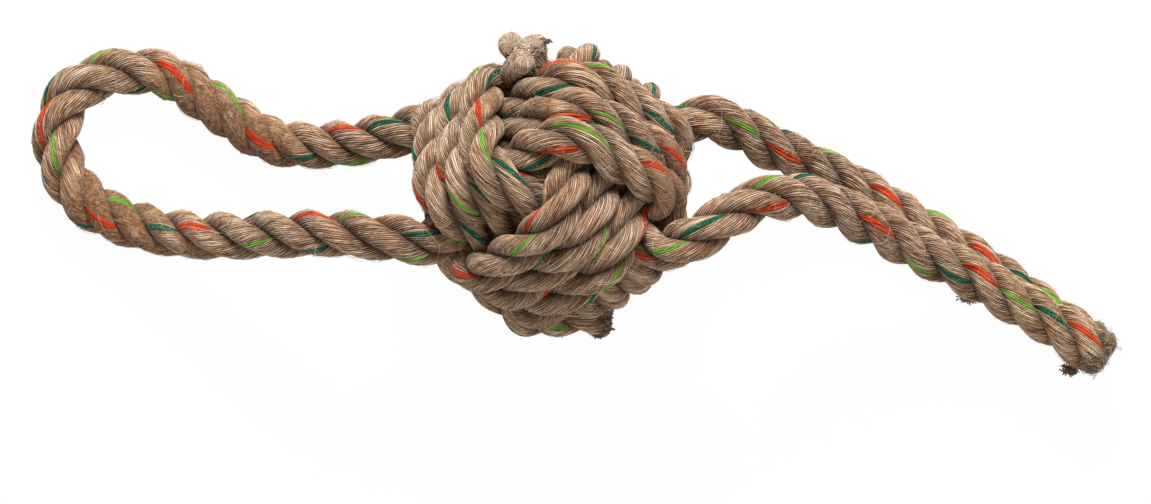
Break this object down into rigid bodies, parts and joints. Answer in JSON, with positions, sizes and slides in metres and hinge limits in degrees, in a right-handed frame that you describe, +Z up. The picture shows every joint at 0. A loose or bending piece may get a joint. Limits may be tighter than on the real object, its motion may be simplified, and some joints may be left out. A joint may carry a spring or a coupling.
{
  "type": "rope dog toy",
  "caption": "Rope dog toy: a monkey's fist ball of wound rope on a doubled handle rope, with a hand loop on one side and two loose tails on the other",
  "frame": {"origin": "on the floor under the middle of the ball's box, the ball being the fist rope with its core and the two legs inside it", "axes": "+Z up from the floor the toy lies on; -X towards the hand loop, +X towards the two tails; +Y completes the frame, towards the fist rope's upper cut end"},
  "size_m": [0.2838, 0.0902, 0.0737],
  "materials": {
    "rope": "three-strand laid hemp, hairy, each strand with one coloured tracer yarn: orange, dark green and lime",
    "core": "matte, hidden inside the fist"
  },
  "bodies": {
    "root": {"fist_rope": "rope", "core": "core", "upper_leg": "rope", "lower_leg": "rope", "handle_loop": "rope", "upper_tail": "rope", "lower_tail": "rope"}
  },
  "joints": []
}
